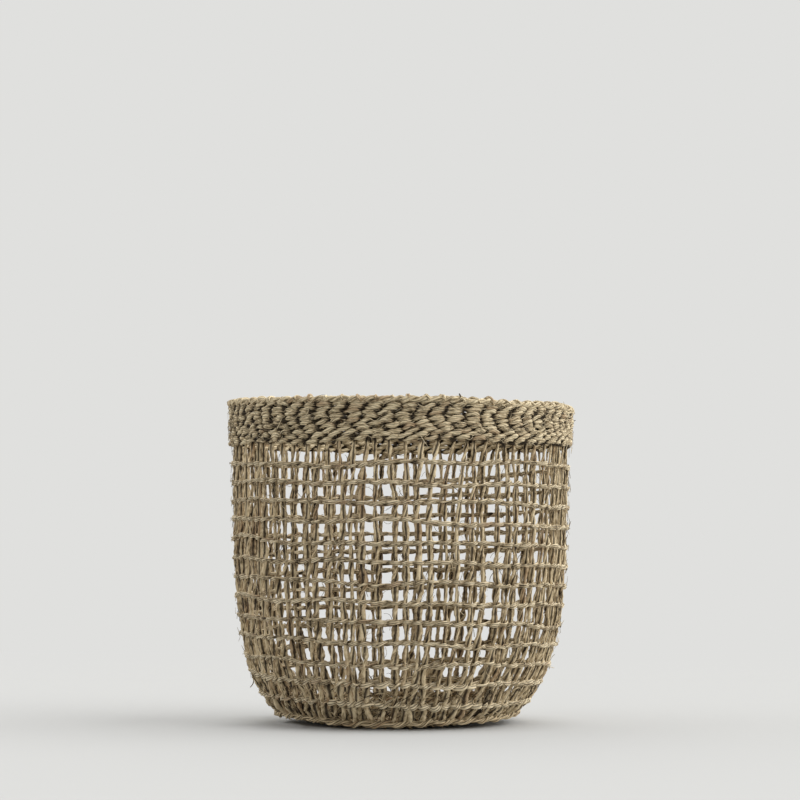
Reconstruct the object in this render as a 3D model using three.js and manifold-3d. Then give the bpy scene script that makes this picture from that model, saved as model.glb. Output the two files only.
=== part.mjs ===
// A round open-work basket of twisted seagrass cord.
// Ten bundles of cord start at the centre of the base.
// Each opens into eight stakes that turn up into the wall.
// Pairs of weft strands close on the stakes from outside and inside:
// open courses, which climb the wall as one spiral, then a close band under the rim.
// Millimetres, +Z up. The origin is the centre of the underside, on the surface that the basket stands on.

import * as THREE from 'three';
import { mergeVertices } from 'three/addons/utils/BufferGeometryUtils.js';
import Module from 'manifold-3d';

const wasm = await Module();
wasm.setup();

// Driving dimensions: the stakes
const bundleCount = 10;
const stakesPerBundle = 8;
const stakeWidth = 3.5;
const stakeThickness = 3.0;
const seatGap = 0.3;

// Driving dimensions: the shape of the wall
const wallDiameter = 245;
const rimDiameter = 250;
const heelRadius = 81;
const swellHeight = 35.5;

// Driving dimensions: the open courses
const courseCount = 13;
const firstCourseHeight = 18.9;
const courseSpacing = 14.1;
const courseDepth = 2.0;
const courseWidth = 3.8;

// Driving dimensions: the close band and the rim
const bandRowCount = 7;
const bandRowPitch = 4.0;
const bandDepth = 3.5;
const bandGap = 14.8;
const rimHeight = 4.0;
const rimShoulderHeight = 2.2;

// Driving dimensions: the base
const underThickness = 2.2;
const upperThickness = 2.2;
const baseRowCount = 4;
const baseRowGroove = 0.8;
const footInset = 6;
const footReach = 5.2;
const footHeight = 4.2;
const knotChamfer = 0.8;

// The wall bends only half-way below these courses, so that every lap of weft sits on a straight stretch.
// Each bend stands a little outside the curve of the wall, so that the straight stretches keep close to it.
const bendCourses = [0, 1, 3, 6];
const bendReach = 0.5;

const stakeCount = bundleCount * stakesPerBundle;
const outerFacets = 4 * Math.round(stakeCount / 8);
const innerFacets = 22;
const discFacets = 19;
const mergeDistance = 1e-4;
const stakePitch = (2 * Math.PI) / stakeCount;
const bundlePitch = (2 * Math.PI) / bundleCount;
const spokeLevel = underThickness + seatGap + stakeThickness / 2;
const baseTwiningRadius = heelRadius - footInset;
const uprightRadius = wallDiameter / 2 - courseDepth - seatGap - stakeThickness / 2;
const rimStakeRadius = rimDiameter / 2 - bandDepth - seatGap - stakeThickness / 2;

const stakeColour = 0x93845f;
const weftColour = 0xa89871;
const bandColour = 0x9f9069;
const baseColour = 0x86774f;

function seagrass(colour) {
  return new THREE.MeshStandardMaterial({ color: colour, roughness: 0.85, metalness: 0 });
}

function courseLevel(index) {
  return firstCourseHeight + courseSpacing * index;
}

const bandLevel = courseLevel(courseCount - 1) + bandGap;
const stakeTop = bandLevel + bandRowCount * bandRowPitch;

// The wall leaves the base at the heel and swells towards its upright radius.
function stakeRadiusAt(level) {
  const swell = Math.exp(-(level - spokeLevel) / swellHeight);
  return uprightRadius - (uprightRadius - heelRadius) * swell;
}

function bendLevel(index) {
  const levelBelow = index === 0 ? spokeLevel : courseLevel(index - 1);
  return (levelBelow + courseLevel(index)) / 2;
}

// Centreline of a stake on the wall, as radius and height, from the heel to the rim
function wallLine() {
  const line = [new THREE.Vector2(heelRadius, spokeLevel)];
  for (const index of bendCourses.filter((bend) => bend < courseCount)) {
    const level = bendLevel(index);
    line.push(new THREE.Vector2(stakeRadiusAt(level) + bendReach, level));
  }
  const neckLevel = (courseLevel(courseCount - 1) + bandLevel) / 2;
  line.push(new THREE.Vector2(stakeRadiusAt(neckLevel), neckLevel));
  line.push(new THREE.Vector2(rimStakeRadius, stakeTop));
  return line;
}

const wall = wallLine();

// Place on the wall's centreline at a height, with the directions up the wall and out of it
function wallSeat(level) {
  let index = 1;
  while (index < wall.length - 1 && wall[index].y < level) {
    index += 1;
  }
  const start = wall[index - 1];
  const end = wall[index];
  const share = (level - start.y) / (end.y - start.y);
  const place = start.clone().lerp(end, share);
  const up = end.clone().sub(start).normalize();
  const out = new THREE.Vector2(up.y, -up.x);
  return { place, up, out };
}

// Both sides of a line at half a thickness, with mitred corners, as one closed outline
function ribbonOutline(line, thickness) {
  const directions = line.slice(1).map((point, index) => point.clone().sub(line[index]).normalize());
  const left = [];
  const right = [];
  line.forEach((point, index) => {
    const arriving = directions[Math.max(index - 1, 0)];
    const leaving = directions[Math.min(index, directions.length - 1)];
    const along = arriving.clone().add(leaving).normalize();
    const across = new THREE.Vector2(-along.y, along.x);
    const reach = thickness / 2 / along.dot(arriving);
    left.push(point.clone().addScaledVector(across, reach));
    right.push(point.clone().addScaledVector(across, -reach));
  });
  return right.concat(left.reverse());
}

function toSolid(geometry) {
  geometry.deleteAttribute('normal');
  geometry.deleteAttribute('uv');
  const merged = mergeVertices(geometry, mergeDistance);
  const vertProperties = new Float32Array(merged.attributes.position.array);
  const triVerts = new Uint32Array(merged.index.array);
  return new wasm.Manifold(new wasm.Mesh({ numProp: 3, vertProperties, triVerts }));
}

function toGeometry(solid) {
  const mesh = solid.getMesh();
  const geometry = new THREE.BufferGeometry();
  geometry.setAttribute('position', new THREE.BufferAttribute(mesh.vertProperties, 3));
  geometry.setIndex(new THREE.BufferAttribute(mesh.triVerts, 1));
  geometry.computeVertexNormals();
  return geometry;
}

// Where the cords of neighbouring bundles just lie side by side
const sideBySideRadius = (stakeWidth + seatGap) / 2 / Math.sin(stakePitch / 2);
const bundleWidth = 2 * stakeWidth;
const bundleStart = (bundleWidth + seatGap) / 2 / Math.sin(bundlePitch / 2);

// The gathered part of a bundle: a flat wedge from the centre knot to where its cords lie side by side
function gatheredCords() {
  const edgeGap = seatGap / 2 / Math.cos(bundlePitch / 2);
  const slope = Math.tan(bundlePitch / 2);
  const outer = sideBySideRadius + stakeWidth;
  const outline = [
    new THREE.Vector2(bundleStart, -bundleStart * slope + edgeGap),
    new THREE.Vector2(outer, -outer * slope + edgeGap),
    new THREE.Vector2(outer, outer * slope - edgeGap),
    new THREE.Vector2(bundleStart, bundleStart * slope - edgeGap),
  ];
  const wedge = new THREE.Shape(outline);
  const geometry = new THREE.ExtrudeGeometry(wedge, { depth: stakeThickness, bevelEnabled: false });
  geometry.translate(0, 0, spokeLevel - stakeThickness / 2);
  return toSolid(geometry);
}

// One stake: in from the heel along the base, and up the wall to the rim
function stake(angle) {
  const line = [new THREE.Vector2(sideBySideRadius, spokeLevel), ...wall];
  const side = new THREE.Shape(ribbonOutline(line, stakeThickness));
  const geometry = new THREE.ExtrudeGeometry(side, { depth: stakeWidth, bevelEnabled: false });
  geometry.rotateX(Math.PI / 2);
  geometry.translate(0, stakeWidth / 2, 0);
  geometry.rotateZ(angle);
  return toSolid(geometry);
}

function stakeFanGeometry() {
  let fan = gatheredCords();
  for (let index = 0; index < stakesPerBundle; index += 1) {
    const angle = (index - (stakesPerBundle - 1) / 2) * stakePitch;
    fan = fan.add(stake(angle));
  }
  return toGeometry(fan);
}

// A ring turned from a closed profile of radius and height
function ringGeometry(profile, facets) {
  const geometry = new THREE.LatheGeometry([...profile, profile[0]], facets);
  geometry.rotateX(Math.PI / 2);
  return geometry;
}

function seatPoint(seat, alongWall, outOfWall) {
  return seat.place.clone().addScaledVector(seat.up, alongWall).addScaledVector(seat.out, outOfWall);
}

// The flats of a faceted ring lie nearer the axis than its corners, so a seat outside the stakes is widened.
function widened(point, facets) {
  return new THREE.Vector2(point.x / Math.cos(Math.PI / facets), point.y);
}

// Section of a strand that lies against the outside of the stakes
function outerSection(level, width, depth) {
  const seat = wallSeat(level);
  const face = stakeThickness / 2 + seatGap;
  return [
    widened(seatPoint(seat, -width / 2, face), outerFacets),
    seatPoint(seat, 0, face + depth),
    widened(seatPoint(seat, width / 2, face), outerFacets),
  ];
}

// Section of a strand that lies against the inside, where both its edges keep to the wall past a bend
function innerSection(level, width, depth) {
  const seat = wallSeat(level);
  const rise = (width / 2) * seat.up.y;
  const face = -stakeThickness / 2 - seatGap;
  return [
    seatPoint(wallSeat(level - rise), 0, face),
    seatPoint(wallSeat(level + rise), 0, face),
    seatPoint(seat, 0, face - depth),
  ];
}

// One lap of an open course. It starts at the back, falls by one course spacing as it runs to the right
// round the front, and ends at the back, where the lap below starts. It is a turned ring whose columns
// of corners are moved to their own height on the wall, with its two ends closed.
function lapGeometry(sectionAt, level, facets) {
  const section = sectionAt(level, courseWidth, courseDepth);
  const geometry = new THREE.LatheGeometry([...section, section[0]], facets);
  const place = geometry.attributes.position;
  const columnSize = section.length + 1;
  const sweep = 2 * (Math.PI - seatGap / wallDiameter);
  for (let column = 0; column <= facets; column += 1) {
    const turn = sweep * (column / facets - 0.5);
    const fall = (courseSpacing * turn) / (2 * Math.PI);
    const lowered = sectionAt(level - fall, courseWidth, courseDepth);
    [...lowered, lowered[0]].forEach((corner, index) => {
      const vertex = column * columnSize + index;
      place.setXYZ(vertex, corner.x * Math.sin(turn), -corner.x * Math.cos(turn), corner.y);
    });
  }
  const last = facets * columnSize;
  const ends = [0, 1, 2, last + 2, last + 1, last];
  geometry.setIndex([...geometry.index.array, ...ends]);
  geometry.computeVertexNormals();
  return geometry;
}

// The border lies over the ends of the stakes and the top row, whose edges rise where the wall leans.
function rimBorderGeometry() {
  const outer = rimDiameter / 2;
  const inner = rimStakeRadius - stakeThickness / 2 - seatGap - bandDepth;
  const leanRise = Math.abs(wallSeat(stakeTop).up.x) * (stakeThickness / 2 + seatGap);
  const foot = stakeTop + leanRise + seatGap;
  return ringGeometry(
    [
      new THREE.Vector2(inner, foot),
      new THREE.Vector2(outer, foot),
      new THREE.Vector2(outer, foot + rimShoulderHeight),
      new THREE.Vector2((inner + outer) / 2, foot + rimHeight - seatGap),
      new THREE.Vector2(inner, foot + rimShoulderHeight),
    ],
    outerFacets,
  );
}

// The row that the basket stands on: flat below, and cupped under the bend of the stakes
function footCourseGeometry() {
  const seat = wallSeat(spokeLevel);
  const start = seatPoint(seat, 0, stakeThickness / 2 + seatGap);
  const slope = seat.up.y / seat.up.x;
  const inner = baseTwiningRadius + seatGap;
  const outer = heelRadius + footReach;
  const flatOfOuter = outer * Math.cos(Math.PI / outerFacets);
  const bend = start.x + (underThickness - start.y) / slope;
  const lip = underThickness + (flatOfOuter - bend) * slope;
  return ringGeometry(
    [
      new THREE.Vector2(inner, 0),
      new THREE.Vector2(outer, 0),
      new THREE.Vector2(outer, Math.min(lip, footHeight)),
      widened(new THREE.Vector2(bend, underThickness), outerFacets),
      new THREE.Vector2(inner, underThickness),
    ],
    outerFacets,
  );
}

// The cutter for the groove between two rows: its edge points into the disc and its back stands clear.
function rowGroove(radius, rowLevel, inward) {
  const depth = baseRowGroove * inward;
  return ringGeometry(
    [
      new THREE.Vector2(radius, rowLevel + depth),
      new THREE.Vector2(radius - depth, rowLevel),
      new THREE.Vector2(radius - depth, rowLevel - depth),
      new THREE.Vector2(radius + depth, rowLevel - depth),
      new THREE.Vector2(radius + depth, rowLevel),
    ],
    discFacets,
  );
}

// A disc that lies on the spokes with one face and is grooved into concentric rows on the other
function baseTwiningGeometry(flatLevel, rowLevel) {
  const circle = new THREE.EllipseCurve(0, 0, baseTwiningRadius, baseTwiningRadius);
  const corners = circle.getPoints(discFacets).slice(0, discFacets);
  const depth = Math.abs(rowLevel - flatLevel);
  const geometry = new THREE.ExtrudeGeometry(new THREE.Shape(corners), { depth, bevelEnabled: false });
  geometry.translate(0, 0, Math.min(flatLevel, rowLevel));
  let disc = toSolid(geometry);
  const pitch = baseTwiningRadius / baseRowCount;
  for (let row = 1; row < baseRowCount; row += 1) {
    const groove = rowGroove(row * pitch, rowLevel, Math.sign(flatLevel - rowLevel));
    disc = disc.subtract(toSolid(groove));
  }
  return toGeometry(disc);
}

function baseTwiningUnderGeometry() {
  return baseTwiningGeometry(underThickness, 0);
}

function baseTwiningUpperGeometry() {
  const flatLevel = spokeLevel + stakeThickness / 2 + seatGap;
  return baseTwiningGeometry(flatLevel, flatLevel + upperThickness);
}

// The lashing between the ends of the bundles
function centreKnotGeometry() {
  const radius = bundleStart - seatGap;
  const low = spokeLevel - stakeThickness / 2;
  const high = spokeLevel + stakeThickness / 2;
  return ringGeometry(
    [
      new THREE.Vector2(0, low),
      new THREE.Vector2(radius - knotChamfer, low),
      new THREE.Vector2(radius, low + knotChamfer),
      new THREE.Vector2(radius, high - knotChamfer),
      new THREE.Vector2(radius - knotChamfer, high),
      new THREE.Vector2(0, high),
    ],
    bundleCount,
  );
}

function addPiece(parent, name, geometry, colour) {
  const mesh = new THREE.Mesh(geometry, seagrass(colour));
  mesh.name = name;
  parent.add(mesh);
  return mesh;
}

function numbered(index) {
  return String(index + 1).padStart(2, '0');
}

function buildStakes() {
  const group = new THREE.Group();
  const fan = stakeFanGeometry();
  for (let index = 0; index < bundleCount; index += 1) {
    const piece = addPiece(group, `stake_fan_${numbered(index)}`, fan.clone(), stakeColour);
    piece.rotation.z = index * bundlePitch;
  }
  return group;
}

function buildOpenCourses() {
  const group = new THREE.Group();
  for (let index = 0; index < courseCount; index += 1) {
    const name = `course_${numbered(index)}`;
    const outer = lapGeometry(outerSection, courseLevel(index), outerFacets);
    const inner = lapGeometry(innerSection, courseLevel(index), innerFacets);
    addPiece(group, `${name}_outer_strand`, outer, weftColour);
    addPiece(group, `${name}_inner_strand`, inner, weftColour);
  }
  return group;
}

function buildBand() {
  const group = new THREE.Group();
  const width = bandRowPitch - seatGap;
  for (let index = 0; index < bandRowCount; index += 1) {
    const name = `band_row_${index + 1}`;
    const level = bandLevel + (index + 0.5) * bandRowPitch;
    const outer = ringGeometry(outerSection(level, width, bandDepth), outerFacets);
    const inner = ringGeometry(innerSection(level, width, bandDepth), innerFacets);
    addPiece(group, `${name}_outer_strand`, outer, bandColour);
    addPiece(group, `${name}_inner_strand`, inner, bandColour);
  }
  addPiece(group, 'rim_border', rimBorderGeometry(), bandColour);
  return group;
}

function buildBase() {
  const group = new THREE.Group();
  addPiece(group, 'foot_course', footCourseGeometry(), baseColour);
  addPiece(group, 'base_twining_under', baseTwiningUnderGeometry(), baseColour);
  addPiece(group, 'base_twining_upper', baseTwiningUpperGeometry(), baseColour);
  addPiece(group, 'centre_knot', centreKnotGeometry(), baseColour);
  return group;
}

const basket = new THREE.Group();
basket.name = 'seagrass_basket';
basket.add(buildStakes(), buildOpenCourses(), buildBand(), buildBase());

export default basket;
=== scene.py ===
import math

import bmesh
import bpy
import numpy as np
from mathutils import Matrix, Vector


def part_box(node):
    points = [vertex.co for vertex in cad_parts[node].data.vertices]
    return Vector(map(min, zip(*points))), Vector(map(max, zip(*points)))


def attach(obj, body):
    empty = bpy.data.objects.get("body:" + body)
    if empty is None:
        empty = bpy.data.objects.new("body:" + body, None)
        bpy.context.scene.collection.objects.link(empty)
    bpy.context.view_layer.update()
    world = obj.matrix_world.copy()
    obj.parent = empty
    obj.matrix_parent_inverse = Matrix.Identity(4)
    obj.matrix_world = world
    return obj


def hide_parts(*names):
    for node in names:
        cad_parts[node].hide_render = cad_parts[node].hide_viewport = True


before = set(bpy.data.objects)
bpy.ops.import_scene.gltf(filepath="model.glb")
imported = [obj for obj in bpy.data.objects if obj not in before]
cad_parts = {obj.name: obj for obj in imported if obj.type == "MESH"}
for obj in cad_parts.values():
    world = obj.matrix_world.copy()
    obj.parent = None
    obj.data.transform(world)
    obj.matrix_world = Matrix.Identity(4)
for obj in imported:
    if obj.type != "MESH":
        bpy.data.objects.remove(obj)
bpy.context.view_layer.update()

# A round open-work seagrass basket. Metres, +Z up, standing on the floor at the origin.
# Every strand is swept along its own route: stakes up the wall, pairs of weft strands round it.

MM = 0.001
TURN = 2 * math.pi


def reach(node):
    """Outer radius of a round piece of the frame."""
    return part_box(node)[1].x


def middle(node):
    """Height of the middle of a piece of the frame."""
    low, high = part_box(node)
    return (low.z + high.z) / 2


# Sizes that the frame gives
bundle_nodes = [f"stake_fan_{number:02d}" for number in range(1, 11)]
course_names = [f"course_{number:02d}" for number in range(1, 14)]
row_names = [f"band_row_{number}" for number in range(1, 8)]
course_levels = [middle(f"{name}_outer_strand") for name in course_names]
course_spacing = course_levels[1] - course_levels[0]
row_levels = [middle(f"{name}_outer_strand") for name in row_names]
row_pitch = row_levels[1] - row_levels[0]
rim_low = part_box("rim_border")[0].z
rim_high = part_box("rim_border")[1].z
stake_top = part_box(bundle_nodes[0])[1].z
rim_radius = reach("rim_border")
foot_radius = reach("foot_course")
twining_radius = reach("base_twining_upper")
knot_radius = reach("centre_knot")

# How far the strands stand out from the middle of the stakes, and the run of the wall
weft_reach = 2.9 * MM
band_reach = 5.3 * MM
foot_reach = 5.2 * MM
spoke_level = 4.0 * MM
swell_height = 35.5 * MM
upright_radius = reach("course_13_outer_strand") - weft_reach
rim_stake_radius = rim_radius - band_reach
heel_radius = foot_radius - foot_reach
foot_level = 3.6 * MM
neck_level = course_levels[-1] + 7 * MM

# Stakes
stakes_per_bundle = 8
stake_count = stakes_per_bundle * len(bundle_nodes)
stake_pitch = TURN / stake_count
first_turn = -(stakes_per_bundle - 1) / 2 * stake_pitch
stake_radius = 2.25 * MM
stake_step = 1.35 * MM
stake_twist = 58 * MM
stake_pinch = 0.1
pinch_reach = 1.7 * MM
corner_steps = 4
least_gap = 0.5

# Where the eight spokes of a bundle start, in mm from the middle of the base
spoke_starts = [46, 24, 46, 12, 46, 24, 46, 12]

# The stakes thicken towards the foot, and are thinner where the band hides them
foot_thickening = 0.4
thickening_top = 60 * MM
thickening_height = 40 * MM
hidden_thinning = 0.3
hidden_height = 4 * MM

# Weft strands of the open courses. The courses are laps of one spiral, which starts high at the back.
course_steps = 8
course_strand_radius = 1.5 * MM
course_sway = 2.3 * MM
course_climb = 0.7 * MM
course_thickening = 0.4
low_course_top = 45 * MM
low_course_height = 15 * MM

# The spiral runs out over so many stakes at its start and its end
run_out = 5
back_step = (-1.5 * math.pi - first_turn) / stake_pitch

# Weft strands of the close band
band_groups = 64
band_steps = 10
band_strand_radius = 1.66 * MM
band_sway = 2.7 * MM
band_climb = 0.95 * MM
band_drop = 1.0 * MM
band_twist = 38 * MM

# The close band has nine thin rounds of twining: two of the frame's seven rows hold two rounds each
rounds_in_rows = [1, 1, 2, 1, 2, 1, 1]

# Ropes of the rim and the foot, and the ends of the stakes that are turned down over the rim
rope_steps = 900
rope_drop = 1.1 * MM
seam_drop = 0.3 * MM
end_steps = 11
border_radius = foot_radius + 0.5 * MM
border_level = foot_level + 0.8 * MM
scallop_count = 34
scallop_size = 0.75 * MM
border_sway = 0.6 * MM
lining_depth = 3.3 * MM

# Twining and knot of the base
base_start = 14 * MM
base_pitch = row_pitch * 1.05
base_first_spoke = 3
base_steps = 6
base_climb = 0.95 * MM
base_sway = 2.4 * MM
base_strand_radius = 1.3 * MM
base_twist = 24 * MM
knot_start = 1.2 * MM
knot_growth = knot_radius + knot_start
knot_depth = 2.1 * MM
knot_strand_radius = 1.4 * MM
knot_twist = 12 * MM
knot_rounds = 4.6
knot_steps = 190

# The wall is a little oval, it bulges at its lower left and leans out at its upper right
oval_size = 0.7 * MM
oval_turn = 0.9
left_bulge = 1.4 * MM
bulge_level = 30 * MM
bulge_spread = 20 * MM
rim_lean = 1.4 * MM

# How full the heel is, how far the foot stands to the left, and how far it curls up at its left and right
heel_fullness = 2.4 * MM
heel_level = 11 * MM
heel_spread = 8 * MM
foot_shift = 2.2 * MM
foot_shift_height = 32 * MM
foot_curl = 4.6 * MM
foot_curl_height = 22 * MM

# Stakes are a little finer on the right: degrees to the right of the front, and thickness
fineness_turns = [-180, -60, -15, 10, 25, 50, 60, 82, 125, 150, 180]
fineness_shares = [1, 1, 1.1, 1.1, 0.96, 0.9, 0.8, 0.74, 0.8, 0.96, 1]

# They are fuller half-way up than higher: millimetres up, and thickness
fullness_levels = [60, 110, 165]
fullness_shares = [1, 1.09, 0.88]

# The rim hangs lower on the right, as the hand left it: degrees to the right of the front, and millimetres
dip_turns = [-180, -90, -45, 0, 15, 28, 41, 65, 85, 125, 180]
dip_depths = [5.0, 2.1, 4.2, 5.2, 5.1, 6.4, 7.3, 6.6, 7.7, 6.5, 5.0]
dip_power = 1.6

# The top laps of the open courses hang lower on the left and lie higher on the right, in mm. The tilt
# fades away over so many laps below the top one.
tilt_turns = [-180, -90, -10, 15, 35, 90, 180]
tilt_heights = [0, -3.6, -2.8, -0.5, 2.4, 4.6, 0]
tilt_fade = 2.2

# The band's lowest rows hang lower than level by a share of the sag, in mm, or lie higher
sag_turns = [-180, -120, -100, -30, -8, 20, 95, 180]
sag_shares = [0, 0.4, 1, 1, -0.3, -0.7, -0.6, 0]
sag_depth = 2.0


def hand(number):
    """The weaver's small errors: a random source of its own for each piece."""
    return np.random.default_rng(7000 + number)


def wander(rng, place, waves, size):
    """A smooth random value round a ring, or along a cord, whose place runs from 0 to 1."""
    turns = np.arange(1, waves + 1)
    shape = np.sin(TURN * (np.outer(place, turns) + rng.random(waves)))
    return size * math.sqrt(2 / waves) * shape.sum(axis=1)


def round_axis(radius, turn, height):
    """Points round the basket's upright axis."""
    return np.stack([radius * np.cos(turn), radius * np.sin(turn), height], axis=-1)


def wall_radius(level):
    """Radius of the stakes' centre line: it swells from the heel, and widens a little to the rim."""
    swell = np.exp(-(level - spoke_level) / swell_height)
    radius = upright_radius - (upright_radius - heel_radius) * swell
    share = np.clip((level - neck_level) / (stake_top - neck_level), 0, 1.2)
    return radius + (rim_stake_radius - upright_radius) * share


def wall_slope(level):
    """How fast the radius grows with height."""
    return (upright_radius - heel_radius) / swell_height * np.exp(-(level - spoke_level) / swell_height)


def right_of_front(turn):
    """Angle from the middle of the front, positive to the right, up to half a turn each way."""
    return (np.asarray(turn) + 1.5 * math.pi) % TURN - math.pi


def dip(turn, level):
    """How far the wall has sunk at a place, most at the rim."""
    depth = np.interp(np.degrees(right_of_front(turn)), dip_turns, dip_depths) * MM
    return depth * np.clip(np.asarray(level) / rim_high, 0, 1) ** dip_power


def hump(level, top, spread):
    """1 at the given height, and less above and below it."""
    return np.exp(-(((level - top) / spread) ** 2))


def lopsided(turn, level):
    """How far the wall stands out from round: an oval, a lean, a bulge and a full heel."""
    high = np.clip(level / rim_high, 0, 1)
    oval = oval_size * np.sin(2 * turn + oval_turn) * high
    lean = rim_lean * (np.clip(np.cos(turn), 0, 1) * high) ** 2
    bulge = left_bulge * np.clip(-np.cos(turn), 0, 1) ** 2 * hump(level, bulge_level, bulge_spread)
    return oval + lean + bulge + heel_fullness * hump(level, heel_level, heel_spread)


def settled(points):
    """The foot stands a little to the left of the rim, and curls up at its left and right."""
    shift = foot_shift * np.exp(-points[:, 2] / foot_shift_height)
    curl = foot_curl * (points[:, 0] / foot_radius) ** 2 * np.exp(-points[:, 2] / foot_curl_height)
    return points + np.stack([-shift, 0 * shift, curl], axis=-1)


def on_wall(turn, level, up, out):
    """Points on the wall, so far up along it and so far out from the middle of the stakes."""
    slope = wall_slope(level)
    length = np.sqrt(1 + slope**2)
    radius = wall_radius(level) + lopsided(turn, level) + (out + slope * up) / length
    height = level + (up - slope * out) / length - dip(turn, level)
    return round_axis(radius, turn, height)


def lap_level(level, along):
    """Height of a lap of weft, which falls by one spacing from the back, round the front, to the back."""
    height = level - course_spacing * along / TURN
    below_top = np.minimum(height - course_levels[-1], 0) / (tilt_fade * course_spacing)
    return height + np.interp(np.degrees(along), tilt_turns, tilt_heights) * MM * np.exp(below_top)


def smoothed(values, reach_in_steps):
    """A line with its corners rounded, and its ends kept."""
    kernel = np.ones(2 * reach_in_steps + 1)
    padded = np.pad(values, reach_in_steps, mode="reflect", reflect_type="odd")
    return np.convolve(padded, kernel / kernel.sum(), mode="valid")


def travel(points):
    """Distance along a line of points."""
    steps = np.linalg.norm(np.diff(points, axis=0), axis=1)
    return np.concatenate([[0], np.cumsum(steps)])


def placed(name, data):
    """A new object in the scene."""
    made = bpy.data.objects.new(name, data)
    bpy.context.scene.collection.objects.link(made)
    return made


# Sections of the strands


class Section:
    """The outline of a cord, about 1 in radius, made of arcs: the sides of its plies that show."""

    def __init__(self, name, arcs):
        curve = bpy.data.curves.new(name, "CURVE")
        curve.dimensions = "2D"
        spline = curve.splines.new("POLY")
        spline.points.add(sum(steps for *_, steps in arcs) - 1)
        self.crease = []
        for x, y, radius, towards, arc, steps in arcs:
            for step in range(steps):
                share = 2 * step / (steps - 1) - 1
                angle = towards + math.radians(arc) * share
                corner = (x + radius * math.cos(angle), -y - radius * math.sin(angle), 0, 1)
                spline.points[len(self.crease)].co = corner
                self.crease.append(share**2)
        spline.use_cyclic_u = True
        self.shape = placed(name, curve)


def plies_round(count, ply_reach, arc, steps):
    """Arcs of plies that lie round the middle of a cord."""
    angles = [TURN * ply / count for ply in range(count)]
    return [
        (ply_reach * math.cos(angle), ply_reach * math.sin(angle), 1 - ply_reach, angle, arc, steps)
        for angle in angles
    ]


two_ply = Section("two_ply_section", plies_round(2, 0.5, 140, 6))
three_ply = Section("three_ply_section", plies_round(3, 0.44, 100, 4))
five_ply = Section("five_ply_section", plies_round(5, 0.45, 58, 3))
hair = Section("hair_section", [(0, 0, 1, 0, 135, 4)])
flat_ply = Section(
    "flat_ply_section",
    [
        # Middle of the arc, radius, direction, half its length in degrees, steps
        (0, 0.6, 0.42, math.pi / 2, 120, 4),
        (0, 0, 0.5, math.pi, 42, 3),
        (0, -0.6, 0.42, -math.pi / 2, 120, 4),
        (0, 0, 0.5, 0, 42, 3),
    ],
)


class Route:
    """The way of one strand: its points, thickness, twist and tone, which holds painted shade too, one
    value for each point.
    """

    def __init__(self, points, radius, twist, tone):
        self.points = settled(points)
        self.radius = np.broadcast_to(radius, len(points))
        self.twist = np.broadcast_to(twist, len(points))
        self.tone = np.broadcast_to(tone, len(points))


# The pattern of the fibres is laid out so that it has no seam: round the strand, and stretched along it.
fibre_stretch = 0.15
fibre_girth = 1.25


def fibre_places(route, corners, closed, offset):
    """Where each vertex lies in the pattern of the fibres."""
    along = travel(route.points) / MM * fibre_stretch
    around = TURN * np.arange(corners) / corners
    across = fibre_girth * np.cos(around)[None, :]
    over = fibre_girth * np.sin(around)[None, :] * np.ones((len(along), 1))
    if closed:
        # The pattern is bent to a ring, so that its end meets its start
        length = along[-1] * (1 + 1 / len(along))
        bow = length / TURN
        angle = along / bow
        places = [(bow + across) * np.cos(angle)[:, None], (bow + across) * np.sin(angle)[:, None], over]
    else:
        places = [along[:, None] + 0 * across, across + 0 * along[:, None], over]
    return np.stack(places, axis=-1).reshape(-1, 3) + offset


def swept(name, section, routes, closed, rng, upright=False):
    """One piece made of strands swept along their routes, with the values that its material reads."""
    curve = bpy.data.curves.new(name, "CURVE")
    curve.dimensions = "3D"
    curve.twist_mode = "MINIMUM" if upright else "Z_UP"
    curve.bevel_mode = "OBJECT"
    curve.bevel_object = section.shape
    for route in routes:
        spline = curve.splines.new("POLY")
        spline.points.add(len(route.points) - 1)
        places = np.ones((len(route.points), 4))
        places[:, :3] = route.points
        spline.points.foreach_set("co", places.ravel())
        spline.points.foreach_set("radius", route.radius)
        spline.points.foreach_set("tilt", route.twist)
        spline.use_cyclic_u = closed
    holder = placed(name, curve)
    depsgraph = bpy.context.evaluated_depsgraph_get()
    mesh = bpy.data.meshes.new_from_object(holder.evaluated_get(depsgraph))
    bpy.data.objects.remove(holder)
    bpy.data.curves.remove(curve)
    add_strand_values(mesh, section, routes, closed, rng)
    if not closed:
        close_ends(mesh)
    mesh.shade_smooth()
    return placed(name, mesh)


def add_strand_values(mesh, section, routes, closed, rng):
    """Fibre place, tone and crease of every vertex. A crease is the line where two plies meet."""
    corners = len(section.crease)
    count = sum(len(route.points) for route in routes)
    values = {
        "tone": np.repeat(np.concatenate([route.tone for route in routes]), corners),
        "crease": np.tile(section.crease, count),
    }
    for name, value in values.items():
        mesh.attributes.new(name, "FLOAT", "POINT").data.foreach_set("value", value)
    fibre = np.concatenate([fibre_places(route, corners, closed, rng.random(3) * 60) for route in routes])
    mesh.attributes.new("fibre", "FLOAT_VECTOR", "POINT").data.foreach_set("vector", fibre.ravel())


def close_ends(mesh):
    """Caps on the ends of open strands."""
    build = bmesh.new()
    build.from_mesh(mesh)
    rim = [edge for edge in build.edges if edge.is_boundary]
    bmesh.ops.holes_fill(build, edges=rim, sides=0)
    bmesh.ops.recalc_face_normals(build, faces=build.faces)
    build.to_mesh(mesh)
    build.free()


def finish_piece(piece, slot, material, *nodes):
    """Material and body of a piece, and the nodes of the frame that it stands in for, which it hides. The
    slot is not used.
    """
    piece.data.materials.clear()
    piece.data.materials.append(material)
    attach(piece, "root")
    if nodes:
        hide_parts(*nodes)


# Where the weaver left the stakes


def relaxed(places):
    """Stakes that came too close are pushed apart."""
    for _ in range(12):
        gap = np.roll(places, -1) - places
        gap[-1] += stake_count
        push = np.clip(least_gap - gap, 0, None) / 2
        places = places - push + np.roll(push, 1)
    return places


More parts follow.
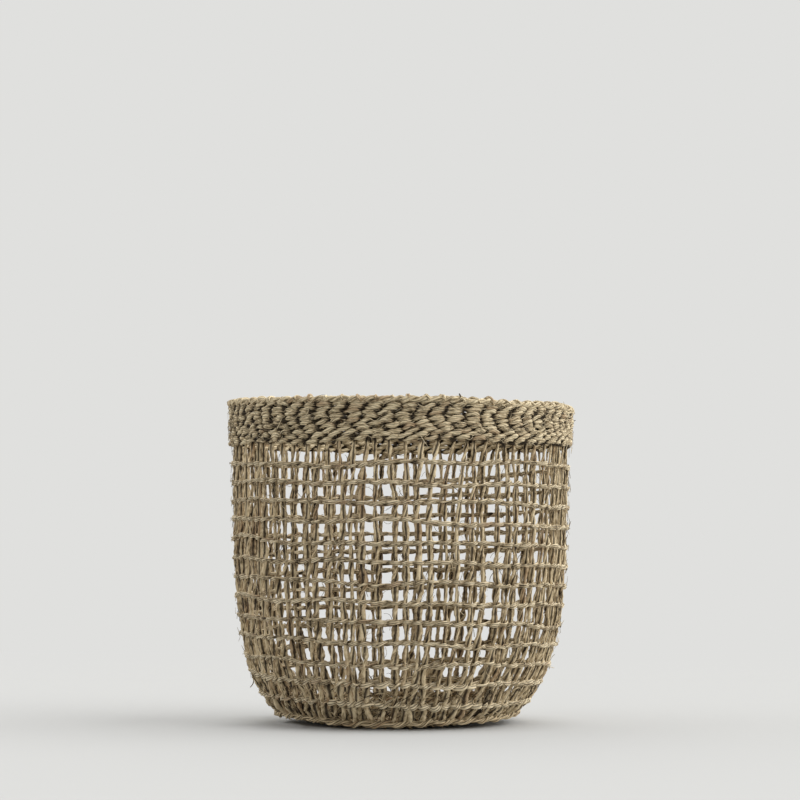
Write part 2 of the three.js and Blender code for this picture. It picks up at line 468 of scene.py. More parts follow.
def band_grouping(rng):
    """Every five stakes share four stitches of the band: one stitch takes two stakes."""
    stitch_of_stake = []
    stitch = 0
    for _ in range(stake_count // 5):
        double = rng.choice([0, 1, 1, 2, 2, 3])
        for within in range(4):
            stitch_of_stake.extend([stitch] * (2 if within == double else 1))
            stitch += 1
    return np.array(stitch_of_stake)


def stake_places():
    """Place of every stake, in stake spacings, at the heel, at each course and through the band."""
    rng = hand(1)
    nominal = np.arange(stake_count, dtype=float)
    start = rng.normal(0, 0.12, stake_count)
    lean = np.zeros(stake_count)
    rows = [nominal + 0.3 * start]
    for number in range(len(course_names)):
        # A stake strays a little from lap to lap, and more near the foot
        loose = 0.13 if number < 2 else 0.065
        lean = 0.7 * lean + rng.normal(0, loose, stake_count)
        rows.append(nominal + start + lean)
    # In the band, the two stakes of a double stitch lie side by side, and the laps below lead up to it
    stitch_of_stake = band_grouping(rng)
    stitch_pitch = stake_count / band_groups
    centre = (stitch_of_stake - 1.5) * stitch_pitch + 2
    together = np.roll(stitch_of_stake, 1) == stitch_of_stake
    joined = np.roll(stitch_of_stake, -1) == stitch_of_stake
    in_band = centre + 0.24 * together - 0.24 * joined
    for back, share in ((1, 0.45), (2, 0.12)):
        rows[-back] = rows[-back] + share * (in_band - rows[-back])
    rows.append(in_band)
    rows.append(in_band)
    levels = [spoke_level, *course_levels, row_levels[0], rim_high + 10 * MM]
    return np.array(levels), np.array([relaxed(row) for row in rows])


place_levels, places_of_stakes = stake_places()


def stake_line(start_radius):
    """Radius and height of a stake from its start on the base, round the heel and up to the rim."""
    flat = np.arange(start_radius, heel_radius - stake_step / 2, stake_step)
    heights = [spoke_level]
    while heights[-1] < stake_top:
        heights.append(heights[-1] + stake_step / math.sqrt(1 + wall_slope(heights[-1]) ** 2))
    heights = np.array(heights)
    radii = np.concatenate([flat, wall_radius(heights)])
    levels = np.concatenate([np.full(len(flat), spoke_level), heights])
    return smoothed(radii, corner_steps), smoothed(levels, corner_steps)


def stake_route(index, rng):
    """One stake: a spoke on the base, the bend at the heel and the upright in the wall."""
    radii, levels = stake_line(spoke_starts[index % stakes_per_bundle] * MM)
    count = len(levels)
    share = np.arange(count) / count
    place = np.interp(levels, place_levels, places_of_stakes[:, index])
    turn = first_turn + place * stake_pitch
    along = right_of_front(turn[-1])
    turn = turn + wander(rng, share, 14, 0.25 * MM) / np.maximum(radii, 30 * MM)
    radii = radii + wander(rng, share, 12, 0.25 * MM) + lopsided(turn, levels)
    heights = levels - dip(turn, levels)
    points = round_axis(radii, turn, heights)
    uneven = wander(rng, share, 26, 0.1) + wander(rng, share, 90, 0.08)
    fineness = np.interp(math.degrees(along), fineness_turns, fineness_shares)
    fineness = fineness * np.interp(levels / MM, fullness_levels, fullness_shares)
    size = stake_radius * fineness * rng.uniform(0.8, 1.06) * (1 + uneven)
    crossings = lap_level(np.array([*course_levels, course_levels[-1] + course_spacing]), along)
    nearness = np.exp(-(((levels[:, None] - crossings[None, :]) / pinch_reach) ** 2)).sum(axis=1)
    size = size * (1 - stake_pinch * nearness)
    low_down = np.clip((thickening_top - levels) / thickening_height, 0, 1) * (levels > spoke_level + MM)
    hidden = np.clip((levels - row_levels[0] + hidden_height) / hidden_height, 0, 1)
    size = size * (1 + foot_thickening * low_down) * (1 - hidden_thinning * hidden)
    rounds = rng.uniform(0.6, 1.3) * TURN * travel(points) / stake_twist
    twist = rounds + wander(rng, share, 9, 0.7) + rng.uniform(0, TURN)
    tone = rng.uniform(0.2, 0.8) + wander(rng, share, 8, 0.12) + wander(rng, share, 80, 0.18)
    # Where the band hides the stakes, their tone is darkened with painted shade
    return Route(points, size, twist, tone - 1.3 * hidden)


def stakes(material):
    """Ten bundles of eight stakes, each bundle one piece."""
    for bundle, node in enumerate(bundle_nodes):
        rng = hand(10 + bundle)
        first = bundle * stakes_per_bundle
        routes = [stake_route(first + index, rng) for index in range(stakes_per_bundle)]
        piece = swept(f"stakes_bundle_{bundle + 1:02d}", two_ply, routes, False, rng, upright=True)
        finish_piece(piece, "stake_cord", material, node)


# Rounds of weft. Each is a pair of strands: where it starts in a stitch, its name, and its node's name.

strand_pair = ((0, "first", "outer"), (1, "second", "inner"))


def painted_shade(outside):
    """1 inside the wall, where a strand is darkened with painted shade, and 0 where it shows on either
    face.
    """
    return (1 - outside**2) ** 2


def lap_turns(level, step):
    """Turns of the steps of a lap, which are shared evenly between the stakes that it passes."""
    numbers = np.arange(math.floor(step[0]), math.ceil(step[-1]) + 1)
    heights = lap_level(level, first_turn + numbers * stake_pitch + math.pi / 2)
    places = []
    for number, height in zip(numbers, heights):
        stake = number % stake_count
        places.append(np.interp(height, place_levels, places_of_stakes[:, stake]) + number - stake)
    return first_turn + np.interp(step, numbers, places) * stake_pitch


def course_route(number, half, rng, shared_level):
    """A strand that passes outside every other stake and inside the rest, rising while it is outside."""
    count = stake_count * course_steps + 1
    share = np.arange(count) / (count - 1)
    step = back_step + stake_count * share
    level = course_levels[number]
    heights = lap_level(level, first_turn + step * stake_pitch + math.pi / 2)
    # The ends of the spiral run out in the band and in the foot
    if number == len(course_names) - 1:
        joining = np.clip(1 - stake_count * share / run_out, 0, 1) ** 2
        heights = heights + (row_levels[0] - heights) * joining
    if number == 0:
        joining = np.clip(1 - stake_count * (1 - share) / run_out, 0, 1) ** 2
        heights = heights + (foot_level + 1.5 * MM - heights) * joining
    calm = np.clip(np.minimum(share, 1 - share) * 30, 0, 1)
    phase = math.pi * (step + half)
    outside = np.cos(phase)
    out = course_sway * outside * (1.12 - 0.12 * outside**2) + calm * wander(rng, share, 60, 0.2 * MM)
    up = course_climb * np.sin(phase) + calm * (wander(rng, share, 90, 0.3 * MM) + shared_level)
    points = on_wall(lap_turns(level, step), heights, up, out)
    low_down = np.clip((low_course_top - heights) / low_course_height, 0, 1)
    uneven = 0.86 + 0.14 * outside**2 + calm * wander(rng, share, 90, 0.12)
    size = course_strand_radius * (1 + course_thickening * low_down) * uneven
    twist = wander(rng, share, 70, 0.6) - 0.35 * np.sin(phase)
    tone = rng.uniform(0.45, 0.65) + wander(rng, share, 70, 0.15) + wander(rng, share, 240, 0.2)
    # Painted shade darkens the strand where it passes through the wall
    return Route(points, size, twist, tone + 0.2 * low_down - 0.4 * painted_shade(outside))


def open_courses(material):
    """The laps of the spiral, each a pair of strands."""
    for number, name in enumerate(course_names):
        rng = hand(40 + number)
        share = np.arange(stake_count * course_steps + 1) / (stake_count * course_steps)
        shared_level = wander(rng, share, 9, 0.8 * MM)
        for half, strand, side in strand_pair:
            route = course_route(number, half, rng, shared_level)
            piece = swept(f"{name}_{strand}_strand", flat_ply, [route], False, rng)
            finish_piece(piece, "weft_cord", material, f"{name}_{side}_strand")


def row_sag(level, turn):
    """The band's lowest rounds hang lower on the left and are pushed up on the right."""
    share = np.interp(np.degrees(right_of_front(turn)), sag_turns, sag_shares)
    return share * np.interp(level, [row_levels[0], row_levels[4]], [sag_depth, 0.0]) * MM


def row_route(level, half, rng, stitch_turns, shared_level):
    """A strand of the close band. A stitch is a leaf, thin where it comes out, blunt where it goes in."""
    step = np.arange(band_groups * band_steps) / band_steps
    ends = np.append(stitch_turns, stitch_turns[0] + TURN)
    turn = np.interp(step, np.arange(band_groups + 1), ends)
    share = step / band_groups
    phase = math.pi * (step + half)
    outside = np.cos(phase)
    out = band_sway * np.tanh(2.1 * (outside + 0.1)) + wander(rng, share, 60, 0.35 * MM)
    up = band_climb * np.sin(phase) - band_drop * (1 - outside) / 2 + wander(rng, share, 90, 0.4 * MM)
    up = up + shared_level - row_sag(level, turn)
    points = on_wall(turn, np.full(len(turn), level), up, out)
    # Some stitches are plumper than others. The top rounds are less slim between their stitches.
    plump = np.repeat(np.maximum(rng.normal(0, 0.15, band_groups), -0.12), band_steps)
    slimness = np.interp(level, [row_levels[4], row_levels[5]], [0.36, 0.12])
    leaf = 1 - slimness * (1 - outside**2) + 0.12 * np.sin(2 * phase)
    size = band_strand_radius * (leaf + plump * outside**2 + wander(rng, share, 160, 0.07))
    rounds = round(TURN * upright_radius / band_twist)
    twist = TURN * rounds * share + wander(rng, share, 30, 0.45)
    tone = rng.uniform(0.45, 0.65) + np.repeat(rng.normal(0, 0.2, band_groups), band_steps)
    # Painted shade darkens the strand where it passes through the wall between stitches
    return Route(points, size, twist, smoothed(tone, 2) - 1.8 * painted_shade(outside) ** 2)


def close_band(material):
    """Rounds of stitches. Each round is set off by a part of a stitch against the one below."""
    stitch_pitch = TURN / band_groups
    first = first_turn + (2 - 1.5 * stake_count / band_groups) * stake_pitch
    share = np.arange(band_groups * band_steps) / (band_groups * band_steps)
    common = wander(hand(69), share, 12, 0.5 * MM)
    levels = iter(np.linspace(row_levels[0], row_levels[-1], sum(rounds_in_rows)))
    for number, (name, held) in enumerate(zip(row_names, rounds_in_rows)):
        rng = hand(70 + number)
        rounds = []
        for _ in range(held):
            column = rng.normal(0, 0.28)
            places = np.arange(band_groups) + column + rng.normal(0, 0.11, band_groups)
            rounds.append((next(levels), first + stitch_pitch * places))
        for half, strand, side in strand_pair:
            routes = [row_route(level, half, rng, turns, common) for level, turns in rounds]
            piece = swept(f"{name}_{strand}_strand", five_ply, routes, True, rng)
            finish_piece(piece, "band_cord", material, f"{name}_{side}_strand")


# Ropes of the rim and the foot


def ring_on_wall(level, further_out):
    """A ring round the wall for a rope to run on, so far out from the middle of the stakes."""

    def ring(turn, up, out):
        return on_wall(turn, np.full(len(turn), level), up, out + further_out)

    return ring


def rope_route(ring, turns, start, twist_radius, size, rng, paleness=0.5):
    """One strand of a rope that runs round the basket on a given ring."""
    share = np.arange(rope_steps) / rope_steps
    phase = TURN * (turns * share + start) + wander(rng, share, 50, 0.3)
    points = ring(TURN * share, twist_radius * np.sin(phase), twist_radius * np.cos(phase))
    radius = size * (1 + wander(rng, share, 90, 0.12))
    twist = -TURN * round(abs(turns) * 0.6) * share + wander(rng, share, 40, 0.5)
    tone = paleness + rng.uniform(-0.15, 0.15) + wander(rng, share, 70, 0.18)
    return Route(points, radius, twist, tone)


def rim_border(material):
    """Two ropes side by side, a third in the seam below, and the stakes' ends turned down over them."""
    rng = hand(80)
    middle_level = (rim_low + rim_high) / 2 - rope_drop
    seam_level = (row_levels[-1] + middle_level) / 2 - seam_drop
    # Level, way out from the stakes, turns of twist, way of a strand from the rope's middle, thickness
    ropes = [
        (middle_level, 2.5 * MM, 41, 1.1 * MM, 1.5 * MM),
        (middle_level, -2.4 * MM, -43, 1.1 * MM, 1.5 * MM),
        (seam_level, -0.8 * MM, 47, 0.7 * MM, 2.2 * MM),
    ]
    routes = [
        rope_route(ring_on_wall(level, further_out), turns, start, twist_radius, size, rng)
        for level, further_out, turns, twist_radius, size in ropes
        for start in (0, 0.5)
    ]
    piece = swept("rim_border_cords", three_ply, routes, True, rng)
    finish_piece(piece, "band_cord", material, "rim_border")
    places = TURN * (np.arange(band_groups) + 0.5) / band_groups
    ends = [turned_end(turn, middle_level, rng) for turn in places]
    piece = swept("turned_stake_ends", three_ply, ends, False, rng)
    finish_piece(piece, "band_cord", material)


def turned_end(turn, level, rng):
    """The end of a stake, laid over the rim from the inside to the outside, aslant."""
    share = np.linspace(0, 1, end_steps)
    round_rim = math.radians(-20) + math.radians(230) * share
    out = -4.1 * MM * np.cos(round_rim)
    up = rng.normal(2.2, 0.35) * MM * np.sin(round_rim)
    lean = rng.normal(4.5, 1.8) * MM * (share - 0.5) / rim_radius
    turns = turn + rng.normal(0, 0.8) * MM / rim_radius + lean
    points = on_wall(turns, np.full(end_steps, level), up, out)
    size = rng.uniform(1.3, 1.9) * MM * (0.6 + 0.4 * np.sin(math.pi * share))
    return Route(points, size, 2 * share + rng.uniform(0, TURN), rng.uniform(0.2, 0.8))


def foot_course(material):
    """The loose border at the foot, which hangs in scallops, and two rows behind it that line the heel."""
    rng = hand(81)
    hang = rng.random(2)

    def border(turn, up, out):
        share = turn / TURN
        scallops = scallop_size * np.cos(TURN * (scallop_count * share + hang[0]))
        sway = border_sway * np.sin(TURN * (5 * share + hang[1]))
        return round_axis(border_radius + out, turn, border_level + up + (scallops + sway))

    routes = []
    for start in (0, 1 / 3, 2 / 3):
        routes.append(rope_route(border, 27, start, 1.25 * MM, 1.3 * MM, rng, paleness=0.95))
    for level, turns in ((8.5 * MM, 38), (13 * MM, 41)):
        lining = ring_on_wall(level, -lining_depth)
        routes += [rope_route(lining, turns, start, 1.3 * MM, 1.5 * MM, rng) for start in (0, 0.5)]
    piece = swept("foot_course_cords", three_ply, routes, True, rng)
    finish_piece(piece, "base_cord", material, "foot_course")


# The base


def base_radius(place):
    """Radius of the spiral of the base, at a place in stake spacings."""
    return base_start + base_pitch * (place - base_first_spoke) / stake_count


def spoke_crossings():
    """Where a strand of the base crosses the spokes, in stake spacings: more spokes further out."""
    crossings = [base_first_spoke]
    while base_radius(crossings[-1]) <= twining_radius:
        radius = base_radius(crossings[-1])
        # A quarter of the spokes reach this far in, half of them from 24 mm, and all from 46 mm
        spacing = 4 if radius < 24 * MM else 2 if radius < 46 * MM else 1
        crossings.append(crossings[-1] + spacing)
    return np.array(crossings)


def base_route(half, rng):
    """A strand of the base, which spirals outwards over and under the spokes."""
    crossings = spoke_crossings()
    step = np.arange((len(crossings) - 1) * base_steps + 1) / base_steps
    place = np.interp(step, np.arange(len(crossings)), crossings)
    turn = first_turn + place * stake_pitch
    share = step / step[-1]
    phase = math.pi * (step + half)
    radius = base_radius(place) + base_climb * np.sin(phase) + wander(rng, share, 300, 0.25 * MM)
    height = spoke_level + base_sway * np.cos(phase)
    points = round_axis(radius, turn, height)
    size = base_strand_radius * (1 + wander(rng, share, 300, 0.1))
    twist = travel(points) / base_twist * TURN + wander(rng, share, 200, 0.5)
    # Painted shade darkens the strand where it passes through the layer of spokes
    tone = 0.55 + wander(rng, share, 250, 0.18) - 0.5 * painted_shade(np.cos(phase))
    return Route(points, size, twist, tone)


def base_twining(material):
    """Two strands, which change places above and below the spokes."""
    for half, strand, side in ((0, "first", "under"), (1, "second", "upper")):
        rng = hand(84 + half)
        piece = swept(f"base_twining_{strand}_strand", three_ply, [base_route(half, rng)], False, rng)
        finish_piece(piece, "base_cord", material, f"base_twining_{side}")


def knot_route(level, lay, rng):
    """A cord coiled flat over the ends of the spokes."""
    share = np.arange(knot_steps) / (knot_steps - 1)
    turn = lay * TURN * knot_rounds * share
    radius = knot_start + knot_growth * share
    height = np.full(knot_steps, level)
    points = round_axis(radius, turn, height)
    size = knot_strand_radius * (1 + wander(rng, share, 20, 0.06))
    return Route(points, size, travel(points) / knot_twist * TURN, 0.5)


def centre_knot(material):
    """One coil above the spokes and one below them."""
    rng = hand(87)
    routes = [knot_route(spoke_level + side * knot_depth, side, rng) for side in (1, -1)]
    piece = swept("centre_knot_cord", two_ply, routes, False, rng)
    finish_piece(piece, "base_cord", material, "centre_knot")


# Loose fibres that lie on the strands and stand off from them. A heading of 0 runs round the wall.

fibre_steps = 6
tip_reach = 3 * MM
along_stake = 1.52
along_weft = 0.1
foot_headings = [0.1, 1.5, 0.9, 2.2]


def fibre_route(rng, turn, level, heading, length, out, peel, thickness):
    """One short fibre on the wall, so far out at its first end and further or less far at its last."""
    share = np.linspace(0, 1, fibre_steps)
    bow = rng.normal(0, 0.12) * length * np.sin(math.pi * share)
    hook = rng.normal(0, 0.5) * share**2
    ahead = length * share
    sideways = ahead * np.cos(heading + hook) - bow * math.sin(heading)
    upwards = ahead * np.sin(heading + hook) + bow * math.cos(heading)
    lift = out + peel * share**2 + rng.normal(0, 0.3 * MM) * np.sin(math.pi * share)
    turns = turn + sideways / wall_radius(level)
    points = on_wall(turns, np.full(fibre_steps, level), upwards, lift)
    points[:, 2] = np.maximum(points[:, 2], thickness)
    tone = rng.uniform(0.4, 1.2) if rng.random() < 0.6 else rng.uniform(-0.4, 0.2)
    return Route(points, thickness * (1 - 0.45 * share), 0, tone)


def stray_tips(material):
    """Ends of strands that stand off from the wall and the rim."""
    rng = hand(95)
    # Degrees right of the front, level in mm, heading in degrees; length, peel and thickness in mm
    tips = [
        (-91, 31, -90, 6.0, 5.0, 0.5),
        (-88, 231, 40, 3.0, 2.4, 1.0),
        (20, 232, 80, 4.5, -1.5, 0.8),
        (-3, 231, 75, 4.0, -1.5, 0.6),
        (90, 223, 40, 3.0, 3.4, 0.6),
        (88, 40, 10, 3.0, 4.0, 0.4),
    ]
    routes = []
    for right, level, heading, *sizes in tips:
        length, peel, thickness = [size * MM for size in sizes]
        turn = math.radians(right - 90)
        heading = math.radians(heading)
        routes.append(fibre_route(rng, turn, level * MM, heading, length, tip_reach, peel, thickness))
    piece = swept("stray_tips", hair, routes, False, rng)
    finish_piece(piece, "stake_cord", material)


def random_way(rng, heading, spread):
    """A heading, or its opposite."""
    return rng.normal(heading, spread) + math.pi * rng.integers(2)


def fine_thickness(rng):
    """Thickness of a fine fibre."""
    return rng.uniform(0.16, 0.34) * MM


def stake_fibre(rng):
    """A fibre that peels off a stake."""
    level = rng.uniform(14, 200) * MM
    place = np.interp(level, place_levels, places_of_stakes[:, rng.integers(stake_count)])
    turn = first_turn + place * stake_pitch + rng.normal(0, 1.3) * MM / wall_radius(level)
    side = 1 if rng.random() < 0.75 else -1
    out = side * rng.uniform(1.2, 2.3) * MM
    peel = side * abs(rng.normal(0, 0.8)) * MM
    length = rng.uniform(4, 12) * MM
    heading = random_way(rng, along_stake, 0.2)
    return fibre_route(rng, turn, level, heading, length, out, peel, fine_thickness(rng))


def course_fibre(rng):
    """A fibre that peels off a lap of weft."""
    turn = rng.uniform(0, TURN)
    level = lap_level(course_levels[rng.integers(len(course_names))], right_of_front(turn))
    level = level + rng.normal(0, 0.9) * MM
    out = rng.uniform(2.6, 3.8) * MM
    length = rng.uniform(3, 9) * MM
    peel = rng.normal(0.2, 0.6) * MM
    heading = random_way(rng, along_weft, 0.35)
    return fibre_route(rng, turn, level, heading, length, out, peel, fine_thickness(rng))


def band_fibre(rng):
    """A fibre that peels off the close band."""
    level = rng.uniform(203, 231) * MM
    out = rng.uniform(3.9, 4.9) * MM
    length = rng.uniform(3, 9) * MM
    peel = rng.normal(0, 0.4) * MM
    turn = rng.uniform(0, TURN)
    heading = random_way(rng, along_weft, 0.35)
    return fibre_route(rng, turn, level, heading, length, out, peel, fine_thickness(rng))


def foot_fibre(rng):
    """The foot is a tangle: fibres lie every way, behind the stakes too."""
    level = rng.uniform(3, 30) * MM
    heading = random_way(rng, foot_headings[rng.integers(len(foot_headings))], 0.3)
    out = rng.uniform(-1.2, 2.4) * MM
    length = rng.uniform(4, 11) * MM
    peel = rng.normal(0.2, 0.6) * MM
    turn = rng.uniform(0, TURN)
    thickness = rng.uniform(0.3, 0.6) * MM
    return fibre_route(rng, turn, level, heading, length, out, peel, thickness)


def loose_fibres(finishes):
    """Four kinds of fibres, each in one piece."""
    kinds = [
        ("stake", stake_fibre, 900, "stake_cord", finishes["stake"]),
        ("course", course_fibre, 700, "weft_cord", finishes["weft"]),
        ("band", band_fibre, 600, "band_cord", finishes["band"]),
        ("foot", foot_fibre, 750, "base_cord", finishes["base"]),
    ]
    for number, (name, one_fibre, count, slot, material) in enumerate(kinds):
        rng = hand(90 + number)
        piece = swept(f"loose_fibres_{name}", hair, [one_fibre(rng) for _ in range(count)], False, rng)
        finish_piece(piece, slot, material)


# Materials


def new_node(tree, kind, settings=None, values=None):
    """A shader node, with its settings and the values of its sockets."""
    made = tree.nodes.new(kind)
    for key, value in (settings or {}).items():
        setattr(made, key, value)
    for key, value in (values or {}).items():
        made.inputs[key].default_value = value
    return made


def empty_tree(owner):
    """The shader tree of a material or a world, with nothing in it yet."""
    owner.use_nodes = True
    owner.node_tree.nodes.clear()
    return owner.node_tree


def math_node(tree, operation, *values, clamp=False):
    """A sum on numbers and sockets."""
    made = new_node(tree, "ShaderNodeMath", {"operation": operation, "use_clamp": clamp})
    for socket, value in zip(made.inputs, values):
        if isinstance(value, (int, float)):
            socket.default_value = value
        else:
            tree.links.new(value, socket)
    return made.outputs[0]


def eased(tree, value, low, high):
    """0 below low and 1 above high, with a soft step between."""
    made = new_node(tree, "ShaderNodeMapRange", {"interpolation_type": "SMOOTHSTEP"})
    made.inputs["From Min"].default_value = low
    made.inputs["From Max"].default_value = high
    tree.links.new(value, made.inputs["Value"])
    return made.outputs["Result"]


def mixed(tree, factor, first, second):
    """The first colour where the factor is 0, and the second where it is 1."""
    made = new_node(tree, "ShaderNodeMix", {"data_type": "RGBA"})
    tree.links.new(factor, made.inputs["Factor"])
    for name, value in (("A", first), ("B", second)):
        socket = next(s for s in made.inputs if s.name == name and s.type == "RGBA")
        tree.links.new(value, socket)
    return next(s for s in made.outputs if s.type == "RGBA")


def noise(tree, vector, scale, detail, roughness):
    """Soft noise, mostly near a half."""
    values = {"Scale": scale, "Detail": detail, "Roughness": roughness}
    made = new_node(tree, "ShaderNodeTexNoise", None, values)
    tree.links.new(vector, made.inputs["Vector"])
    return made.outputs["Fac"]


def fibre_group():
    """Dried seagrass: fine streaks along the strand, blotches, a tone for each strand, and painted shade
    in the creases and wherever the tone holds it.
    """
    group = bpy.data.node_groups.new("seagrass_fibre", "ShaderNodeTree")
    for name in ("Pale", "Straw", "Dark and shade", "Russet"):
        group.interface.new_socket(name=name, in_out="INPUT", socket_type="NodeSocketColor")
    for name in ("Crease shade", "Lift"):
        group.interface.new_socket(name=name, in_out="INPUT", socket_type="NodeSocketFloat")
    group.interface.new_socket(name="Color", in_out="OUTPUT", socket_type="NodeSocketColor")
    for name in ("Roughness", "Height"):
        group.interface.new_socket(name=name, in_out="OUTPUT", socket_type="NodeSocketFloat")
    given = group.nodes.new("NodeGroupInput").outputs
    fibre = new_node(group, "ShaderNodeAttribute", {"attribute_name": "fibre"}).outputs["Vector"]
    tone = new_node(group, "ShaderNodeAttribute", {"attribute_name": "tone"}).outputs["Fac"]
    crease = new_node(group, "ShaderNodeAttribute", {"attribute_name": "crease"}).outputs["Fac"]
    streak = noise(group, fibre, scale=1.9, detail=3.0, roughness=0.62)
    blotch = noise(group, fibre, scale=0.5, detail=2.0, roughness=0.5)
    drift = noise(group, fibre, scale=0.16, detail=1.0, roughness=0.5)

    # Lightness: streaks count most, then blotches, the strand's tone, which holds painted shade as well as
    # its own tone, and the material's lift
    light = math_node(group, "MULTIPLY_ADD", streak, 2.2, -0.48)
    light = math_node(group, "ADD", light, math_node(group, "MULTIPLY", blotch, 0.6))
    light = math_node(group, "ADD", light, math_node(group, "MULTIPLY", tone, 0.55))
    light = math_node(group, "ADD", light, given["Lift"])

    # Straw to pale, with rusty stretches
    colour = mixed(group, eased(group, light, 0.85, 1.55), given["Straw"], given["Pale"])
    rust = math_node(group, "MULTIPLY", eased(group, drift, 0.56, 0.72), 0.5)
    colour = mixed(group, rust, colour, given["Russet"])

    # Painted shade in the creases between the plies, and dark slits between the fibres, which also deepen
    # the painted shade that the tone holds
    gap = math_node(group, "MULTIPLY", eased(group, crease, 0.35, 1.0), given["Crease shade"])
    slit = math_node(group, "SUBTRACT", 1.0, eased(group, light, 0.55, 1.02))
    dark = math_node(group, "ADD", gap, math_node(group, "MULTIPLY", slit, 0.88), clamp=True)
    colour = mixed(group, dark, colour, given["Dark and shade"])

    roughness = math_node(group, "SUBTRACT", 0.95, math_node(group, "MULTIPLY", streak, 0.35))
    height = math_node(group, "SUBTRACT", streak, math_node(group, "MULTIPLY", dark, 0.5))
    sent = group.nodes.new("NodeGroupOutput").inputs
    group.links.new(colour, sent["Color"])
    group.links.new(roughness, sent["Roughness"])
    group.links.new(height, sent["Height"])
    return group


def srgb(red, green, blue):
    """A colour as an eye or a colour card gives it, from 0 to 255, for a shader."""
    parts = []
    for value in (red, green, blue):
        part = value / 255
        parts.append(part / 12.92 if part <= 0.04045 else ((part + 0.055) / 1.055) ** 2.4)
    return (*parts, 1)


# Dark colour of the slits between fibres, and the colour of the painted shade in creases and crossings
dark_and_shade = srgb(36, 26, 14)
russet = srgb(136, 100, 66)

# Pale and straw colour of each kind of strand, how dark the painted shade in its creases is, and how much
# paler it is
seagrasses = {
    "stake": (srgb(212, 194, 159), srgb(156, 136, 103), 0.88, -0.04),
    "weft": (srgb(226, 210, 177), srgb(167, 148, 115), 0.75, 0.03),
    "band": (srgb(222, 206, 171), srgb(169, 150, 117), 0.5, 0.02),
    "base": (srgb(208, 189, 153), srgb(153, 132, 99), 0.88, -0.04),
}


def seagrass(name, group, pale, straw, crease, lift):
    """The material of one kind of strand."""
    material = bpy.data.materials.new(f"seagrass_{name}")
    tree = empty_tree(material)
    values = {"Pale": pale, "Straw": straw, "Dark and shade": dark_and_shade, "Russet": russet, "Crease shade": crease, "Lift": lift}
    fibres = new_node(tree, "ShaderNodeGroup", {"node_tree": group}, values)
    surface = new_node(tree, "ShaderNodeBsdfPrincipled", None, {"Specular IOR Level": 0.3})
    relief = new_node(tree, "ShaderNodeBump", None, {"Strength": 0.9, "Distance": 0.25 * MM})
    output = tree.nodes.new("ShaderNodeOutputMaterial")
    tree.links.new(fibres.outputs["Color"], surface.inputs["Base Color"])
    tree.links.new(fibres.outputs["Roughness"], surface.inputs["Roughness"])
    tree.links.new(fibres.outputs["Height"], relief.inputs["Height"])
    tree.links.new(relief.outputs["Normal"], surface.inputs["Normal"])
    tree.links.new(surface.outputs["BSDF"], output.inputs["Surface"])
    return material


def make_basket():
    """Every piece of the basket, with its material."""
    group = fibre_group()
    finishes = {name: seagrass(name, group, *values) for name, values in seagrasses.items()}
    stakes(finishes["stake"])
    open_courses(finishes["weft"])
    close_band(finishes["band"])
    rim_border(finishes["band"])
    foot_course(finishes["base"])
    base_twining(finishes["base"])
    centre_knot(finishes["base"])
    loose_fibres(finishes)
    stray_tips(finishes["stake"])


# The picture: a pale room without a horizon, soft light, and a long lens half-way up the basket

backdrop_colour = srgb(224, 224, 222)
floor_colour = srgb(180, 180, 178)
floor_reach = 6
room_strength = 0.58

# The floor fades into the backdrop from here to there behind the basket
fade_start = 0.3
fade_end = 1.3

# The camera sees the floor's shadow a little paler, from just outside the foot outwards
shadow_paleness = 0.24
paler_start = 0.09
paler_end = 0.15

# Soft lights, as from large windows: place, width in degrees, strength
lights = {
    "key_light": ((2.15, -0.2, 1.6), 75, 3.25),
    "left_light": ((-2.1, 0.8, 1.5), 75, 1.15),
    "back_light": ((0.2, 2.2, 1.7), 60, 1.3),
}

camera_place = (0, -1.9, 0.1235)
camera_target = (0, 0, 0.2332)
camera_lens = 117.7


def camera_only(tree, seen, lit):
    """The seen shader for the camera, and the lit one for light on its way to the basket."""
    path = tree.nodes.new("ShaderNodeLightPath").outputs
    direct = math_node(tree, "MAXIMUM", path["Is Camera Ray"], path["Is Glossy Ray"])
    direct = math_node(tree, "MAXIMUM", direct, path["Is Transmission Ray"])
    choice = tree.nodes.new("ShaderNodeMixShader")
    tree.links.new(direct, choice.inputs[0])
    tree.links.new(lit, choice.inputs[1])
    tree.links.new(seen, choice.inputs[2])
    return choice.outputs[0]


def room_light():
    """Even light from all round, which the camera sees as the backdrop."""
    world = bpy.data.worlds.new("soft_room")
    bpy.context.scene.world = world
    tree = empty_tree(world)
    lit = new_node(tree, "ShaderNodeBackground", None, {"Color": (1, 1, 1, 1), "Strength": room_strength})
    seen = new_node(tree, "ShaderNodeBackground", None, {"Color": backdrop_colour, "Strength": 1.0})
    output = tree.nodes.new("ShaderNodeOutputWorld")
    choice = camera_only(tree, seen.outputs[0], lit.outputs[0])
    tree.links.new(choice, output.inputs["Surface"])


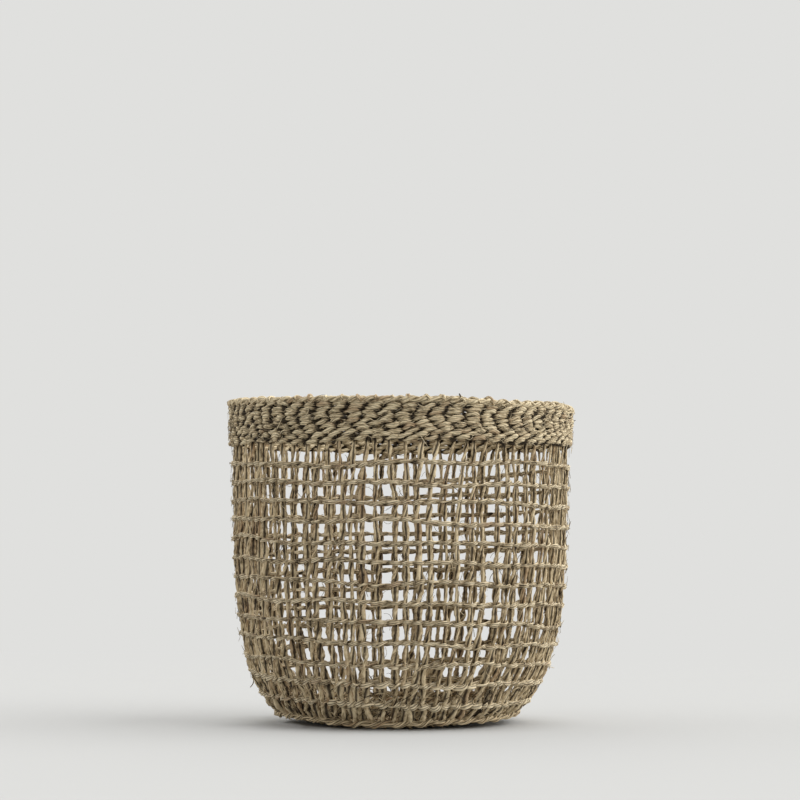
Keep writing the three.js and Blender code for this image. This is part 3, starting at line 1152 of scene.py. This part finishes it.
def floor():
    """A matt floor near the basket, which fades into the backdrop behind it."""
    build = bmesh.new()
    bmesh.ops.create_grid(build, x_segments=2, y_segments=2, size=floor_reach)
    mesh = bpy.data.meshes.new("floor")
    build.to_mesh(mesh)
    build.free()
    plane = placed("floor", mesh)
    material = bpy.data.materials.new("pale_floor")
    tree = empty_tree(material)
    lit = new_node(tree, "ShaderNodeBsdfDiffuse", None, {"Color": floor_colour})
    far = new_node(tree, "ShaderNodeEmission", None, {"Color": backdrop_colour, "Strength": 1.0})
    place = tree.nodes.new("ShaderNodeTexCoord").outputs["Object"]
    depth = new_node(tree, "ShaderNodeSeparateXYZ")
    tree.links.new(place, depth.inputs[0])
    fade = eased(tree, depth.outputs["Y"], fade_start, fade_end)
    away = new_node(tree, "ShaderNodeVectorMath", {"operation": "LENGTH"})
    tree.links.new(place, away.inputs[0])
    outside = eased(tree, away.outputs["Value"], paler_start, paler_end)
    paler = math_node(tree, "MULTIPLY", outside, shadow_paleness)
    seen = tree.nodes.new("ShaderNodeMixShader")
    tree.links.new(math_node(tree, "MAXIMUM", fade, paler), seen.inputs[0])
    tree.links.new(lit.outputs[0], seen.inputs[1])
    tree.links.new(far.outputs[0], seen.inputs[2])
    output = tree.nodes.new("ShaderNodeOutputMaterial")
    choice = camera_only(tree, seen.outputs[0], lit.outputs[0])
    tree.links.new(choice, output.inputs["Surface"])
    mesh.materials.append(material)


def aim(thing, target):
    """Turns a lamp or the camera towards a point."""
    direction = Vector(target) - thing.location
    thing.rotation_euler = direction.to_track_quat("-Z", "Y").to_euler()


def lamp(name, place, angle, strength):
    """Even light from one side: the wider its angle, the softer its shadow."""
    data = bpy.data.lights.new(name, "SUN")
    data.angle = math.radians(angle)
    data.energy = strength
    made = placed(name, data)
    made.location = place
    aim(made, (0, 0, 0))


def camera():
    """A long lens in front of the basket, with room above it."""
    data = bpy.data.cameras.new("camera")
    data.sensor_width = 36
    data.lens = camera_lens
    made = placed("camera", data)
    made.location = camera_place
    aim(made, camera_target)
    bpy.context.scene.camera = made


camera()
room_light()
for name, (place, angle, strength) in lights.items():
    lamp(name, place, angle, strength)
floor()
make_basket()
for section in (two_ply, three_ply, five_ply, flat_ply, hair):
    bpy.data.objects.remove(section.shape)

view_settings = bpy.context.scene.view_settings
view_settings.view_transform = "Standard"
